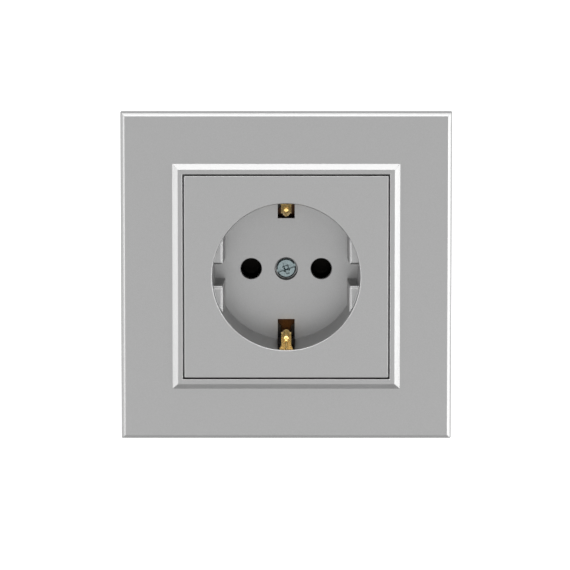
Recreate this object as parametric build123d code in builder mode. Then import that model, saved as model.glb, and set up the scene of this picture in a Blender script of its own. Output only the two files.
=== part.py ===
from build123d import *
from math import atan, cos, degrees, radians, sin
import os

os.makedirs("parts", exist_ok=True)

# Flush wall socket with side earth clips, in millimetres.
# The origin is the centre of the wall's face. +X is to the right as seen from the room,
# +Y goes into the wall and +Z is up. Heights are in front of the wall, depths are behind it.

# Fits
seat_gap = 0.1
slide_gap = 0.2
thread_gap = 0.03
pocket_gap = 0.4

# Plug: two round pins with a centre distance, in a round well
pin_spacing = 19.0
pin_hole_radius = 2.75
pin_hole_chamfer = 0.2

# Centre plate
plate_size = 55.0
plate_height = 8.2
plate_thickness = 1.8
plate_corner_radius = 0.4
plate_edge_chamfer = 0.25
skirt_thickness = 1.5
plate_rib = 1.2
plate_rib_height = 1.0
corner_rib_length = 12.0

# Well
well_depth = 15.0
well_front_radius = 19.9
well_floor_radius = 19.3
well_rim_bevel = 0.3
well_wall = 1.5
well_floor_thickness = 1.8

# Key ledges at the two sides of the well, each with a slot
ledge_drop = 2.5
ledge_front_half = 17.15
ledge_floor_half = 16.5
ledge_chamfer = 0.4
key_slot_front_width = 5.9
key_slot_floor_width = 5.32
key_slot_chamfer = 0.65

# Earth slots at the top and bottom of the well
earth_slot_width = 4.6
earth_slot_radius = 14.3
earth_slot_lip = 1.0
earth_slot_overrun = 1.6

# Cover frame
frame_size = 89.0
frame_height = 7.0
frame_wall = 1.8
frame_edge_band = 0.6
frame_undercut = 1.0
frame_corner_radius = 0.45
frame_rib = 1.2
frame_rib_pitch = 28.0
bezel_rise = 1.3
bezel_run = 1.5
bezel_flat = 1.3
bezel_inner_chamfer = 0.2
window_gap = 0.3
window_wall = 2.0
plate_ledge_height = 5.0
plate_ledge_width = 2.3
plate_ledge_thickness = 1.6
frame_foot = 3.0

# Facets of the frame's edge from its band to its face, each as its run and its rise
frame_edge_facets = [(0.38, 1.25), (0.40, 0.60), (0.42, 0.25)]

# Support plate on the rim of the wall box
support_thickness = 1.2
support_margin = 6.2
support_corner_radius = 6.0
support_well_gap = 1.1
box_screw_spacing = 60.0
box_slot_width = 3.8
box_slot_length = 6.5
corner_hole_radius = 1.6
corner_hole_inset = 6.0
side_notch_width = 9.0
side_notch_depth = 1.5

# Base body behind the well
base_width = 40.5
base_height = 43.0
base_round_radius = 27.0
base_front_gap = 0.4
base_depth = 21.0
base_back_chamfer = 1.2
base_floor = 3.0
pillar_radius = 2.2
pillar_angle = 42.5

# Screws: head radius, head height, shank radius
centre_head_radius = 2.65
centre_head_height = 1.8
centre_shank_radius = 1.5
centre_head_drop = 0.7
centre_slot_angle = 19.0
centre_socket_radius = 1.1
centre_socket_tip_radius = 0.45
centre_socket_depth = 1.6
counterbore_radius = 3.15
centre_boss_radius = 5.0
centre_screw_length = 7.5
terminal_head_radius = 2.7
terminal_head_height = 1.8
terminal_shank_radius = 1.75
terminal_screw_length = 8.3
claw_head_radius = 2.6
claw_head_height = 1.8
claw_shank_radius = 1.5
claw_screw_length = 23.2
plate_screw_head_radius = 2.1
plate_screw_head_height = 1.1
plate_screw_shank_radius = 1.2
plate_screw_length = 9.0
driver_slot_width = 0.9
driver_slot_depth = 0.9
driver_cross_share = 0.62
screw_head_bevel = 0.35
screw_tip_share = 0.3

# Earth strap and its two clips
strap_thickness = 0.8
strap_width = 8.0
strap_sink = 2.7
strap_neck_drop = 2.0
strap_tab_half = 3.6
strap_bend = 0.6
clip_width = 2.7
clip_riser_radius = 18.5
clip_knee_rise = 1.5
clip_contact_radius = 15.45
clip_contact_drop = 7.5
clip_leaf_radius = 16.3
clip_leaf_bend = 2.0
clip_end_radius = 20.6
clip_end_drop = 1.5
clip_end_bend = 0.1
clip_hook = 0.9
clip_hook_drop = 0.25
clip_bead_radius = 1.0
clip_bead_length = 2.0
clip_groove_radius = 0.5
clip_groove_depth = 0.2
clip_groove_start = 3.4
clip_flare_width = 4.3
clip_flare_start = 19.1
clip_flare_end = 20.4
strap_rivet_z = 8.0
rivet_radius = 1.25
rivet_head_radius = 2.0
rivet_head_height = 0.6
rivet_bore_radius = 0.7
rivet_sink = 1.0

# Contacts
contact_thickness = 0.7
contact_sink = 1.5
contact_mouth_length = 3.0
contact_waist_length = 6.0
contact_collar = 3.2
contact_spring_gap = 0.15
contact_mouth_radius = 3.0
contact_neck_radius = 2.3
contact_back_radius = 2.6
contact_slit = 1.4
contact_base = 0.8
contact_leg_width = 5.6
contact_leg_drop = 8.0
contact_spring_thickness = 0.6
contact_spring_width = 2.6
contact_spring_opening = 2.0

# Terminals: place beside the pin axis, clamp and wire window
terminal_shift = 2.0
terminal_z = 14.0
terminal_pocket_width = 8.4
terminal_pocket_height = 9.6
terminal_pocket_depth = 12.0
terminal_clamp_size = 7.6
terminal_clamp_thickness = 1.2
wire_space = 3.6
wire_window_height = 4.6
clamp_groove = 0.5
clamp_groove_place = 2.5

# Claws
claw_sheet = 1.0
claw_half_width = 4.8
claw_side_gap = 0.3
claw_pivot_gap = 0.9
claw_pivot_depth = 1.8
claw_stub_radius = 1.0
claw_ear_radius = 1.5
claw_lug_radius = 1.6
claw_screw_shift = 2.4
claw_web_gap = 0.3
claw_web_start = 9.0
claw_length = 21.2
claw_flange_width = 3.4
claw_tooth = 0.8
claw_tooth_pitch = 1.9
claw_tab_depth = 13.0
claw_tab_half_width = 3.3
claw_tab_base_gap = 0.65
claw_window_length = 4.0

# Levels along Y, positive into the wall
plate_front = -plate_height
floor_front = plate_front + well_depth
floor_back = floor_front + well_floor_thickness
base_front = floor_back + base_front_gap
base_back = base_front + base_depth
base_pocket_floor = base_back - base_floor
ledge_front = plate_front + ledge_drop
plate_seat = -plate_ledge_height
head_seat = floor_front + centre_head_drop + centre_head_height
strap_front = base_front + strap_sink
strap_back = strap_front + strap_thickness
clip_knee_depth = floor_front - clip_knee_rise

# Places across the wall
pin_x = pin_spacing / 2
well_outer_radius = well_front_radius + well_wall
well_outer_floor_radius = well_floor_radius + well_wall
support_hole_radius = well_outer_radius + support_well_gap
pillar_ring = support_hole_radius + 0.875 * pillar_radius
pillar_x = pillar_ring * cos(radians(pillar_angle))
pillar_z = pillar_ring * sin(radians(pillar_angle))
terminal_x = pin_x + terminal_shift
claw_pivot_x = support_hole_radius + claw_pivot_gap
claw_screw_x = claw_pivot_x + claw_screw_shift
claw_web_x = claw_screw_x + claw_shank_radius + claw_web_gap
window_size = plate_size + 2 * window_gap
window_ring_size = window_size + 2 * window_wall
bezel_size = window_size + 2 * (bezel_flat + bezel_run)
frame_back_size = frame_size - 2 * frame_undercut
support_size = frame_back_size - 2 * (frame_wall + support_margin)


def wall_plane(depth):
    """A sketch plane parallel to the wall. It looks out into the room."""
    return Plane.XZ.offset(-depth)


def pan_screw(x, z, seat, head_radius, head_height, shank_radius, length, angle=0):
    """A screw along +Y whose head bears on the plane at depth seat."""
    with BuildPart() as screw:
        with BuildSketch(wall_plane(seat)):
            with Locations((x, z)):
                Circle(head_radius)
        extrude(amount=head_height)
        chamfer(screw.faces().sort_by(Axis.Y)[0].edges(), screw_head_bevel)
        with BuildSketch(wall_plane(seat)):
            with Locations((x, z)):
                Circle(shank_radius)
        extrude(amount=-length)
        chamfer(screw.faces().sort_by(Axis.Y)[-1].edges(), screw_tip_share * shank_radius)
        with BuildSketch(wall_plane(seat - head_height)):
            with Locations((x, z)):
                Rectangle(2.2 * head_radius, driver_slot_width, rotation=angle)
                Rectangle(driver_slot_width, 2 * driver_cross_share * head_radius, rotation=angle)
        extrude(amount=-driver_slot_depth, mode=Mode.SUBTRACT)
    return screw


# Cover frame: undercut sides, faceted edge, raised bezel round the window, hollow back
undercut_height = frame_height - frame_edge_band - sum(rise for run, rise in frame_edge_facets)
with BuildPart() as cover_frame:
    with BuildSketch(wall_plane(0)):
        Rectangle(frame_back_size, frame_back_size)
    extrude(amount=undercut_height, taper=-degrees(atan(frame_undercut / undercut_height)))
    with BuildSketch(wall_plane(-undercut_height)):
        Rectangle(frame_size, frame_size)
    extrude(amount=frame_edge_band)
    facet_size = frame_size
    facet_back = -undercut_height - frame_edge_band
    for run, rise in frame_edge_facets:
        with BuildSketch(wall_plane(facet_back)):
            Rectangle(facet_size, facet_size)
        extrude(amount=rise, taper=degrees(atan(run / rise)))
        facet_size -= 2 * run
        facet_back -= rise
    with BuildSketch(wall_plane(0)):
        RectangleRounded(frame_size, frame_size, frame_corner_radius)
    extrude(amount=frame_height, mode=Mode.INTERSECT)
    with BuildSketch(wall_plane(-frame_height)):
        Rectangle(bezel_size, bezel_size)
    extrude(amount=bezel_rise, taper=degrees(atan(bezel_run / bezel_rise)))
    with BuildSketch(wall_plane(0)):
        Rectangle(window_size, window_size)
    extrude(amount=frame_height + bezel_rise, mode=Mode.SUBTRACT)
    bezel_face = cover_frame.faces().sort_by(Axis.Y)[0]
    chamfer(bezel_face.inner_wires()[0].edges(), bezel_inner_chamfer)

    with BuildSketch(wall_plane(0)):
        Rectangle(frame_back_size - 2 * frame_wall, frame_back_size - 2 * frame_wall)
        Rectangle(window_ring_size, window_ring_size, mode=Mode.SUBTRACT)
    extrude(amount=frame_height - frame_wall, mode=Mode.SUBTRACT)
    ledge_back = -plate_ledge_height + plate_ledge_thickness
    with BuildSketch(wall_plane(0)):
        Rectangle(window_ring_size, window_ring_size)
    extrude(amount=-ledge_back, mode=Mode.SUBTRACT)
    with BuildSketch(wall_plane(ledge_back)):
        Rectangle(window_ring_size, window_ring_size)
        ledge_opening = window_size - 2 * plate_ledge_width
        Rectangle(ledge_opening, ledge_opening, mode=Mode.SUBTRACT)
    extrude(amount=plate_ledge_thickness)

    rib_front = -frame_height + frame_wall
    rib_back = -support_thickness - pocket_gap
    rib_reach = (frame_back_size - window_ring_size) / 2 - frame_wall
    rib_centre = (frame_back_size + window_ring_size) / 4 - frame_wall / 2
    with BuildSketch(wall_plane(rib_back)):
        for side in (-1, 1):
            with Locations((side * rib_centre, -frame_rib_pitch / 2), (side * rib_centre, frame_rib_pitch / 2)):
                Rectangle(rib_reach, frame_rib)
            with Locations((-frame_rib_pitch / 2, side * rib_centre), (frame_rib_pitch / 2, side * rib_centre)):
                Rectangle(frame_rib, rib_reach)
    extrude(amount=rib_back - rib_front)
    foot_back = -support_thickness - seat_gap
    foot_place = (window_ring_size + frame_foot) / 2 - frame_rib
    with BuildSketch(wall_plane(foot_back)):
        with GridLocations(2 * foot_place, 2 * foot_place, 2, 2):
            Rectangle(frame_foot, frame_foot)
    extrude(amount=foot_back - rib_front)


# The room inside the well: round in front, then flattened by the two ledges and their key slots
ledge_reach = floor_front - ledge_front
well_taper = (well_front_radius - well_floor_radius) / well_depth


def well_radius_at(depth):
    return well_floor_radius + well_taper * (floor_front - depth)


with BuildPart() as well_front_room:
    with BuildSketch(Plane.XY):
        with BuildLine():
            Polyline(
                (0, ledge_front),
                (well_radius_at(ledge_front), ledge_front),
                (well_front_radius, plate_front + well_rim_bevel),
                (well_front_radius + well_rim_bevel, plate_front),
                (0, plate_front),
                close=True,
            )
        make_face()
    revolve(axis=Axis.Y)


def lower_room(floor_width, front_width, height, mouth):
    """The round of the well below the ledges, within a tapered slot that has a bevelled mouth."""
    taper = degrees(atan((front_width - floor_width) / 2 / ledge_reach))
    with BuildPart() as slot:
        with BuildSketch(wall_plane(floor_front)):
            Rectangle(floor_width, height)
        extrude(amount=ledge_reach, taper=-taper)
        with BuildSketch(wall_plane(ledge_front + mouth)):
            Rectangle(front_width, height)
        extrude(amount=mouth, taper=-45)
    with BuildPart() as room:
        with BuildSketch(Plane.XY):
            with BuildLine():
                Polyline(
                    (0, floor_front),
                    (well_floor_radius, floor_front),
                    (well_radius_at(ledge_front), ledge_front),
                    (0, ledge_front),
                    close=True,
                )
            make_face()
        revolve(axis=Axis.Y)
        add(slot.part, mode=Mode.INTERSECT)
    return room


# The slots run past the round of the well on every side
well_overreach = 4 * well_front_radius
well_middle_room = lower_room(2 * ledge_floor_half, 2 * ledge_front_half, well_overreach, ledge_chamfer)
key_slot_room = lower_room(key_slot_floor_width, key_slot_front_width, well_overreach, key_slot_chamfer)


# Plate moulding: square face with a skirt, the well with its ledges, slots and holes
with BuildPart() as plate_moulding:
    with BuildSketch(wall_plane(plate_seat)):
        RectangleRounded(plate_size, plate_size, plate_corner_radius)
    extrude(amount=plate_seat - plate_front)
    chamfer(plate_moulding.faces().sort_by(Axis.Y)[0].edges(), plate_edge_chamfer)
    with BuildSketch(wall_plane(plate_seat)):
        Rectangle(plate_size - 2 * skirt_thickness, plate_size - 2 * skirt_thickness)
    face_back = plate_front + plate_thickness
    extrude(amount=plate_seat - face_back, mode=Mode.SUBTRACT)

    with BuildSketch(Plane.XY):
        with BuildLine():
            Polyline(
                (0, floor_back),
                (well_outer_floor_radius, floor_back),
                (well_outer_radius, face_back),
                (0, face_back),
                close=True,
            )
        make_face()
    revolve(axis=Axis.Y)
    rib_inner = well_outer_radius - plate_rib / 2
    rib_outer = plate_size / 2 - skirt_thickness / 2
    with BuildSketch(wall_plane(face_back + plate_rib_height)):
        with PolarLocations((rib_inner + rib_outer) / 2, 4):
            Rectangle(rib_outer - rib_inner, plate_rib)
        with PolarLocations(rib_inner + corner_rib_length / 2, 4, start_angle=45):
            Rectangle(corner_rib_length, plate_rib)
    extrude(amount=plate_rib_height)

    add(well_front_room.part, mode=Mode.SUBTRACT)
    add(well_middle_room.part, mode=Mode.SUBTRACT)
    add(key_slot_room.part.rotate(Axis.Y, 90), mode=Mode.SUBTRACT)

    boss_back = strap_front - seat_gap
    with BuildSketch(wall_plane(boss_back)):
        Circle(centre_boss_radius)
    extrude(amount=boss_back - floor_back)
    with Locations(wall_plane(floor_front)):
        CounterBoreHole(centre_shank_radius + slide_gap, counterbore_radius, head_seat - floor_front)
        with Locations((-pin_x, 0), (pin_x, 0)):
            Hole(pin_hole_radius)
    chamfer(
        plate_moulding.edges()
        .filter_by(GeomType.CIRCLE)
        .filter_by(lambda edge: abs(edge.radius - pin_hole_radius) < 0.01)
        .group_by(Axis.Y)[0],
        pin_hole_chamfer,
    )
    slot_outer = well_outer_radius + earth_slot_overrun
    slot_front = plate_front + earth_slot_lip
    with BuildSketch(wall_plane(floor_back)):
        for side in (-1, 1):
            with Locations((0, side * (earth_slot_radius + slot_outer) / 2)):
                Rectangle(earth_slot_width, slot_outer - earth_slot_radius)
    extrude(amount=floor_back - slot_front, mode=Mode.SUBTRACT)

# The floor of the well stands against the end of its wall and of the ledges
with BuildPart() as centre_plate:
    add(plate_moulding.part)
    split(bisect_by=wall_plane(floor_front), keep=Keep.TOP)
with BuildPart() as well_floor:
    add(plate_moulding.part)
    split(bisect_by=wall_plane(floor_front), keep=Keep.BOTTOM)


# Screw in the middle of the well, into the earth strap, with a tapered socket in its slots
socket_taper = degrees(atan((centre_socket_radius - centre_socket_tip_radius) / centre_socket_depth))
with BuildPart() as centre_screw:
    plain_screw = pan_screw(
        0, 0, head_seat, centre_head_radius, centre_head_height, centre_shank_radius,
        centre_screw_length, centre_slot_angle,
    )
    add(plain_screw.part)
    with BuildSketch(wall_plane(head_seat - centre_head_height)):
        Circle(centre_socket_radius)
    extrude(amount=-centre_socket_depth, taper=socket_taper, mode=Mode.SUBTRACT)


# Sprung earth clip at the top of the well: a leaf that bends in from its riser and out to the rim,
# with a bead where it meets the plug, a groove above the bead, and a flared end
strap_neck = clip_riser_radius - strap_neck_drop
strap_middle = (strap_front + strap_back) / 2
half_strap = strap_thickness / 2
leaf_foot = Vector(0, plate_front + clip_contact_drop, clip_leaf_radius)
leaf_end = Vector(0, plate_front + clip_end_drop, clip_end_radius)
leaf_way = (leaf_end - leaf_foot).normalized()
leaf_face = Vector(0, -leaf_way.Z, leaf_way.Y)
bead_foot = Vector(0, leaf_foot.Y, clip_contact_radius + clip_bead_radius)
bead_end = bead_foot + leaf_way * clip_bead_length
groove_foot = (
    leaf_foot
    + leaf_way * clip_groove_start
    + leaf_face * (half_strap + clip_groove_radius - clip_groove_depth)
)
clip_far = clip_end_radius + 2 * clip_hook

with BuildPart() as clip_bead:
    with Locations(Plane(bead_foot, z_dir=leaf_way)):
        Sphere(clip_bead_radius)
        Cylinder(
            clip_bead_radius, clip_bead_length, align=(Align.CENTER, Align.CENTER, Align.MIN)
        )
    with Locations(Plane(bead_end, z_dir=leaf_way)):
        Sphere(clip_bead_radius)
    with BuildSketch(Plane.YZ.offset(-clip_width / 2)):
        with BuildLine():
            Polyline(
                (clip_knee_depth, clip_riser_radius),
                (leaf_foot.Y, leaf_foot.Z + half_strap / 2),
                (leaf_end.Y, leaf_end.Z),
                (leaf_end.Y, clip_far),
                (clip_knee_depth, clip_far),
                close=True,
            )
        make_face()
    extrude(amount=clip_width, mode=Mode.SUBTRACT)

with BuildPart() as earth_clip:
    with BuildSketch(Plane.YZ.offset(-clip_flare_width / 2)):
        with BuildLine() as clip_line:
            FilletPolyline(
                (strap_middle, strap_neck - strap_thickness),
                (strap_middle, clip_riser_radius),
                (clip_knee_depth, clip_riser_radius),
                (leaf_foot.Y, leaf_foot.Z),
                (leaf_end.Y, leaf_end.Z),
                (leaf_end.Y + clip_hook_drop, leaf_end.Z + clip_hook),
                radius=[
                    strap_bend + half_strap,
                    clip_leaf_bend + half_strap,
                    clip_leaf_bend + half_strap,
                    clip_end_bend + half_strap,
                ],
            )
        trace(clip_line.line, strap_thickness)
    extrude(amount=clip_flare_width)
    with BuildSketch(wall_plane(strap_back)):
        with BuildLine():
            narrow = clip_width / 2
            wide = clip_flare_width / 2
            Polyline(
                (narrow, strap_neck - strap_thickness),
                (narrow, clip_flare_start), (wide, clip_flare_end), (wide, clip_far),
                (-wide, clip_far), (-wide, clip_flare_end), (-narrow, clip_flare_start),
                (-narrow, strap_neck - strap_thickness),
                close=True,
            )
        make_face()
    extrude(amount=strap_back - plate_front, mode=Mode.INTERSECT)
    add(clip_bead.part)
    with Locations(Plane(groove_foot, z_dir=leaf_way)):
        Sphere(clip_groove_radius, mode=Mode.SUBTRACT)
        Cylinder(
            clip_groove_radius, clip_far, align=(Align.CENTER, Align.CENTER, Align.MIN),
            mode=Mode.SUBTRACT,
        )


# Earth strap: bridge behind the well, a clip at each end and a side tab to its terminal
with BuildPart() as earth_strap:
    with BuildSketch(wall_plane(strap_back)):
        with BuildLine():
            half = strap_width / 2
            neck_start = strap_neck - (half - clip_width / 2)
            Polyline(
                (half, -neck_start), (half, neck_start),
                (clip_width / 2, strap_neck), (-clip_width / 2, strap_neck),
                (-half, neck_start), (-half, -neck_start),
                (-clip_width / 2, -strap_neck), (clip_width / 2, -strap_neck),
                close=True,
            )
        make_face()
        with Locations(((terminal_x + strap_tab_half) / 2, terminal_z)):
            Rectangle(terminal_x + strap_tab_half, 2 * strap_tab_half)
        with Locations((0, 0)):
            Circle(centre_shank_radius + thread_gap, mode=Mode.SUBTRACT)
        with Locations((0, -strap_rivet_z), (0, strap_rivet_z)):
            Circle(rivet_radius + thread_gap, mode=Mode.SUBTRACT)
        with Locations((terminal_x, terminal_z)):
            Circle(terminal_shank_radius + slide_gap, mode=Mode.SUBTRACT)
    extrude(amount=strap_thickness)
    add(earth_clip.part)
    add(earth_clip.part.mirror(Plane.XY))


# Base body: moulded block on four pillars, with pockets for the contacts and the terminals
terminals = [(-terminal_x, -terminal_z), (terminal_x, -terminal_z), (terminal_x, terminal_z)]
pillars = [(sx * pillar_x, sz * pillar_z) for sx in (-1, 1) for sz in (-1, 1)]
contact_pocket_radius = contact_mouth_radius + contact_thickness + 0.5
leg_pocket_width = contact_leg_width + 2 * slide_gap
with BuildPart() as base_body:
    with BuildSketch(wall_plane(base_front)):
        Rectangle(base_width, base_height)
        Circle(base_round_radius, mode=Mode.INTERSECT)
    extrude(amount=-base_depth)
    chamfer(base_body.faces().sort_by(Axis.Y)[-1].edges(), base_back_chamfer)
    with BuildSketch(wall_plane(base_front)):
        with Locations(*pillars):
            Circle(pillar_radius)
    extrude(amount=base_front)
    with BuildSketch(wall_plane(0)):
        with Locations(*pillars):
            Circle(plate_screw_shank_radius + thread_gap)
    extrude(amount=-plate_screw_length, mode=Mode.SUBTRACT)

    with BuildSketch(wall_plane(base_front)):
        with Locations((-pin_x, 0), (pin_x, 0)):
            Circle(contact_pocket_radius)
        leg_pocket_drop = terminal_z - terminal_pocket_height / 2 + pocket_gap
        for side in (-1, 1):
            with Locations((side * terminal_x, -leg_pocket_drop / 2)):
                Rectangle(leg_pocket_width, leg_pocket_drop)
    extrude(amount=-(base_pocket_floor - base_front), mode=Mode.SUBTRACT)
    with BuildSketch(wall_plane(base_front)):
        with Locations(*terminals):
            Rectangle(terminal_pocket_width, terminal_pocket_height)
    extrude(amount=-terminal_pocket_depth, mode=Mode.SUBTRACT)
    with BuildSketch(wall_plane(base_front)):
        channel_half = clip_riser_radius + strap_thickness
        Rectangle(strap_width + 2 * slide_gap, 2 * channel_half)
        with Locations((terminal_x / 2, terminal_z)):
            Rectangle(terminal_x, 2 * strap_tab_half + 2 * slide_gap)
        Circle(centre_boss_radius + pocket_gap)
    extrude(amount=-(strap_back - base_front), mode=Mode.SUBTRACT)
    with BuildSketch(wall_plane(strap_back)):
        Circle(centre_shank_radius + slide_gap)
    extrude(amount=-centre_screw_length, mode=Mode.SUBTRACT)
    with BuildSketch(wall_plane(strap_back)):
        with Locations((0, -strap_rivet_z), (0, strap_rivet_z)):
            Circle(rivet_radius + thread_gap)
    extrude(amount=-base_depth, mode=Mode.SUBTRACT)
    with BuildSketch(wall_plane(base_back)):
        with Locations((0, -strap_rivet_z), (0, strap_rivet_z)):
            Circle(rivet_head_radius + pocket_gap)
    extrude(amount=rivet_sink, mode=Mode.SUBTRACT)
    for x, z in terminals:
        window_side = 1 if z > 0 else -1
        with BuildSketch(Plane.XY.offset(z)):
            with Locations((x, strap_back + wire_window_height / 2)):
                Rectangle(terminal_pocket_width, wire_window_height)
        extrude(amount=window_side * base_height / 2, mode=Mode.SUBTRACT)


# Pin contacts: sprung round sleeve slit into two leaves, on a leg that ends in the terminal tab
contact_front = base_front + contact_sink
contact_neck_depth = contact_front + contact_mouth_length


def pin_contact(side):
    """The contact of the pin on one side, -1 for left and 1 for right."""
    x = side * pin_x
    sleeve = [
        (contact_mouth_radius, contact_front),
        (contact_neck_radius, contact_neck_depth),
        (contact_back_radius, contact_neck_depth + contact_waist_length),
        (contact_back_radius, base_pocket_floor),
    ]
    sleeve_outside = [(radius + contact_thickness, depth) for radius, depth in reversed(sleeve)]
    with BuildPart() as contact:
        with BuildSketch(Plane.XY):
            with BuildLine():
                Polyline(*[(x + radius, depth) for radius, depth in sleeve + sleeve_outside], close=True)
            make_face()
        revolve(axis=Axis((x, 0, 0), (0, 1, 0)))
        with BuildSketch(wall_plane(contact_front)):
            with Locations((x, 0)):
                Rectangle(4 * contact_mouth_radius, contact_slit)
        slit_length = base_pocket_floor - contact_front - contact_collar
        extrude(amount=-slit_length, mode=Mode.SUBTRACT)
        with BuildSketch(wall_plane(base_pocket_floor)):
            with Locations((x, 0)):
                Circle(contact_back_radius + contact_thickness)
        extrude(amount=contact_base)
        leg_x = side * terminal_x - contact_leg_width / 2
        back_line = base_pocket_floor - contact_base / 2
        leg_bend = strap_bend + contact_base / 2
        with BuildSketch(Plane.YZ.offset(leg_x)):
            with BuildLine() as leg_line:
                FilletPolyline(
                    (back_line, -contact_back_radius / 2),
                    (back_line, -contact_leg_drop),
                    (strap_middle, -contact_leg_drop),
                    (strap_middle, -terminal_z - strap_tab_half),
                    radius=[leg_bend, leg_bend],
                )
            trace(leg_line.line, contact_base)
        extrude(amount=contact_leg_width)
        with BuildSketch(wall_plane(strap_back + pocket_gap)):
            with Locations((side * terminal_x, -terminal_z)):
                Circle(terminal_shank_radius + slide_gap)
        extrude(amount=strap_thickness + 2 * pocket_gap, mode=Mode.SUBTRACT)
    return contact


def contact_spring(side):
    """The steel ring spring round the leaves of a pin contact, open at one side."""
    x = side * pin_x
    inner = contact_neck_radius + contact_thickness + contact_spring_gap
    with BuildPart() as spring:
        with BuildSketch(wall_plane(contact_neck_depth - contact_spring_width / 4)):
            with Locations((x, 0)):
                Circle(inner + contact_spring_thickness)
                Circle(inner, mode=Mode.SUBTRACT)
            with Locations((x + side * inner, 0)):
                Rectangle(2 * inner, contact_spring_opening, mode=Mode.SUBTRACT)
        extrude(amount=-contact_spring_width)
    return spring


# Terminal clamps and their screws
def terminal_clamp(x, z):
    """The threaded plate that is drawn up against the wires."""
    clamp_front = strap_back + wire_space
    with BuildPart() as clamp:
        with BuildSketch(wall_plane(clamp_front)):
            with Locations((x, z)):
                Rectangle(terminal_clamp_size, terminal_clamp_size)
                Circle(terminal_shank_radius + thread_gap, mode=Mode.SUBTRACT)
        extrude(amount=-terminal_clamp_thickness)
        with BuildSketch(wall_plane(clamp_front)):
            for groove_side in (-1, 1):
                with Locations((x + groove_side * clamp_groove_place, z)):
                    Rectangle(clamp_groove, terminal_clamp_size)
        extrude(amount=-clamp_groove / 2, mode=Mode.SUBTRACT)
    return clamp


def terminal_screw(x, z):
    return pan_screw(
        x, z, strap_front, terminal_head_radius, terminal_head_height,
        terminal_shank_radius, terminal_screw_length, 45,
    )


# Support plate: pressed steel with box slots, claw screw holes and lugs that carry the claws
lug_inner = claw_half_width + claw_side_gap
with BuildPart() as support_plate:
    with BuildSketch(wall_plane(0)):
        RectangleRounded(support_size, support_size, support_corner_radius)
        Circle(support_hole_radius, mode=Mode.SUBTRACT)
        with Locations((0, -box_screw_spacing / 2), (0, box_screw_spacing / 2)):
            SlotOverall(box_slot_length, box_slot_width, rotation=90, mode=Mode.SUBTRACT)
        with Locations((-claw_screw_x, 0), (claw_screw_x, 0)):
            Circle(claw_shank_radius + slide_gap, mode=Mode.SUBTRACT)
        with Locations(*pillars):
            Circle(plate_screw_shank_radius + slide_gap, mode=Mode.SUBTRACT)
        corner_pitch = support_size - 2 * corner_hole_inset
        with GridLocations(corner_pitch, corner_pitch, 2, 2):
            Circle(corner_hole_radius, mode=Mode.SUBTRACT)
        with Locations((-support_size / 2, 0), (support_size / 2, 0)):
            Rectangle(2 * side_notch_depth, side_notch_width, mode=Mode.SUBTRACT)
        with Locations((0, -support_size / 2), (0, support_size / 2)):
            Rectangle(side_notch_width, 2 * side_notch_depth, mode=Mode.SUBTRACT)
    extrude(amount=support_thickness)
    for side in (-1, 1):
        for lug_low in (lug_inner, -lug_inner - support_thickness):
            with BuildSketch(Plane.XY.offset(lug_low)):
                with Locations((side * claw_pivot_x, (claw_pivot_depth - support_thickness) / 2)):
                    Rectangle(2 * claw_lug_radius, claw_pivot_depth + support_thickness)
                with Locations((side * claw_pivot_x, claw_pivot_depth)):
                    Circle(claw_lug_radius)
                    Circle(claw_stub_radius + seat_gap, mode=Mode.SUBTRACT)
            extrude(amount=support_thickness)


# Claws: sheet channels that hang on the lugs and are drawn outwards by their screws
claw_end = claw_pivot_depth + claw_length


def expanding_claw(side):
    """The claw on one side, -1 for left and 1 for right."""
    web_inner = claw_web_x
    web_outer = claw_web_x + claw_sheet
    flange_inner = web_outer - claw_flange_width
    tooth_start = claw_end - 2 * claw_tooth_pitch
    outline = [
        (claw_pivot_x - claw_ear_radius, claw_pivot_depth),
        (claw_pivot_x + 0.7 * claw_ear_radius, claw_pivot_depth - 0.7 * claw_ear_radius),
        (web_outer, claw_web_start),
        (web_outer, tooth_start),
        (web_outer + claw_tooth, tooth_start + 0.7 * claw_tooth_pitch),
        (web_outer, tooth_start + claw_tooth_pitch),
        (web_outer + claw_tooth, claw_end - 0.3 * claw_tooth_pitch),
        (web_outer, claw_end),
        (web_inner - claw_sheet, claw_end),
        (flange_inner, claw_end - 2 * claw_tooth_pitch),
        (flange_inner, claw_web_start + claw_sheet),
    ]
    tab_inner = base_width / 2 + claw_tab_base_gap
    with BuildPart() as claw:
        for flange_low in (claw_half_width - claw_sheet, -claw_half_width):
            with BuildSketch(Plane.XY.offset(flange_low)):
                with BuildLine():
                    Polyline(*[(side * x, y) for x, y in outline], close=True)
                make_face()
                with Locations((side * claw_pivot_x, claw_pivot_depth)):
                    Circle(claw_ear_radius)
            extrude(amount=claw_sheet)
        with BuildSketch(Plane.XY.offset(-claw_half_width)):
            with Locations((side * (web_inner + web_outer) / 2, (claw_web_start + claw_end) / 2)):
                Rectangle(claw_sheet, claw_end - claw_web_start)
        extrude(amount=2 * claw_half_width)
        with BuildSketch(Plane.XY.offset(-claw_tab_half_width)):
            window_middle = claw_tab_depth + claw_sheet + claw_window_length / 2
            with Locations((side * (web_inner + web_outer) / 2, window_middle)):
                Rectangle(2 * claw_sheet, claw_window_length)
        extrude(amount=2 * claw_tab_half_width, mode=Mode.SUBTRACT)
        with BuildSketch(wall_plane(claw_tab_depth + claw_sheet)):
            tab_outer = web_inner + claw_sheet / 2
            with Locations((side * (tab_inner + tab_outer) / 2, 0)):
                Rectangle(tab_outer - tab_inner, 2 * claw_tab_half_width)
            with Locations((side * (tab_inner + web_inner) / 2, 0)):
                Rectangle(web_inner - tab_inner, 2 * (claw_shank_radius + slide_gap), mode=Mode.SUBTRACT)
        extrude(amount=claw_sheet)
        stub_length = claw_side_gap + support_thickness
        for stub_low in (claw_half_width, -claw_half_width - stub_length):
            with BuildSketch(Plane.XY.offset(stub_low)):
                with Locations((side * claw_pivot_x, claw_pivot_depth)):
                    Circle(claw_stub_radius)
            extrude(amount=stub_length)
    return claw


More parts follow.
